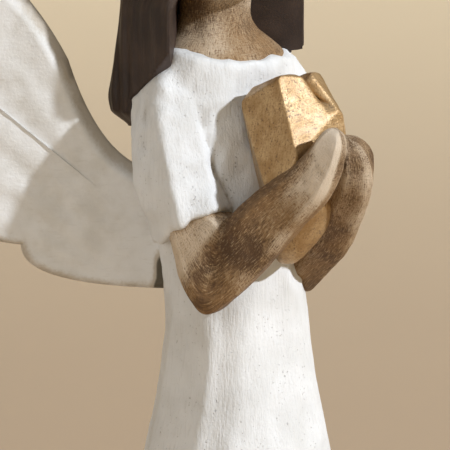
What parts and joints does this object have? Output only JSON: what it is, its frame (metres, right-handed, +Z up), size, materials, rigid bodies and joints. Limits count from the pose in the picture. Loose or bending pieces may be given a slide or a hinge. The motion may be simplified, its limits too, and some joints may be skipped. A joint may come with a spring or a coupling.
{
  "type": "angel figurine",
  "caption": "Standing angel figurine of painted cast resin, holding a heart, with two wings and a felt-covered base that rests on a flat surface.",
  "frame": {"origin": "middle of the felt's underside, on the surface that the figurine stands on", "axes": "+Z up through the skirt, -Y the way the figure faces, +X to the figure's left hand"},
  "size_m": [0.1046, 0.069, 0.2022],
  "materials": {
    "dress_paint": "chalky white paint on cast resin, brushed, with fine pits and chips",
    "skin_paint": "brown paint on cast resin, dry-brushed with beige and gold",
    "hair_paint": "satin dark chocolate paint on cast resin",
    "gold_leaf": "brushed gold leaf over cast resin, with fine dark flecks",
    "wing_paint": "off-white paint on cast resin, with carved feathers",
    "raw_resin": "bare cast resin",
    "felt": "brown adhesive felt",
    "pin_steel": "plain cut steel wire"
  },
  "bodies": {
    "root": {"dress": "dress_paint", "head": "skin_paint", "hair": "hair_paint", "right_forearm": "skin_paint", "left_forearm": "skin_paint", "heart": "gold_leaf", "right_wing": "wing_paint", "left_wing": "wing_paint", "base_plug": "raw_resin", "felt_pad": "felt", "neck_pin": "pin_steel", "hair_pin": "pin_steel", "heart_pin": "pin_steel", "right_elbow_pin": "pin_steel", "left_elbow_pin": "pin_steel", "right_wing_pins": "pin_steel", "left_wing_pins": "pin_steel"}
  },
  "joints": []
}
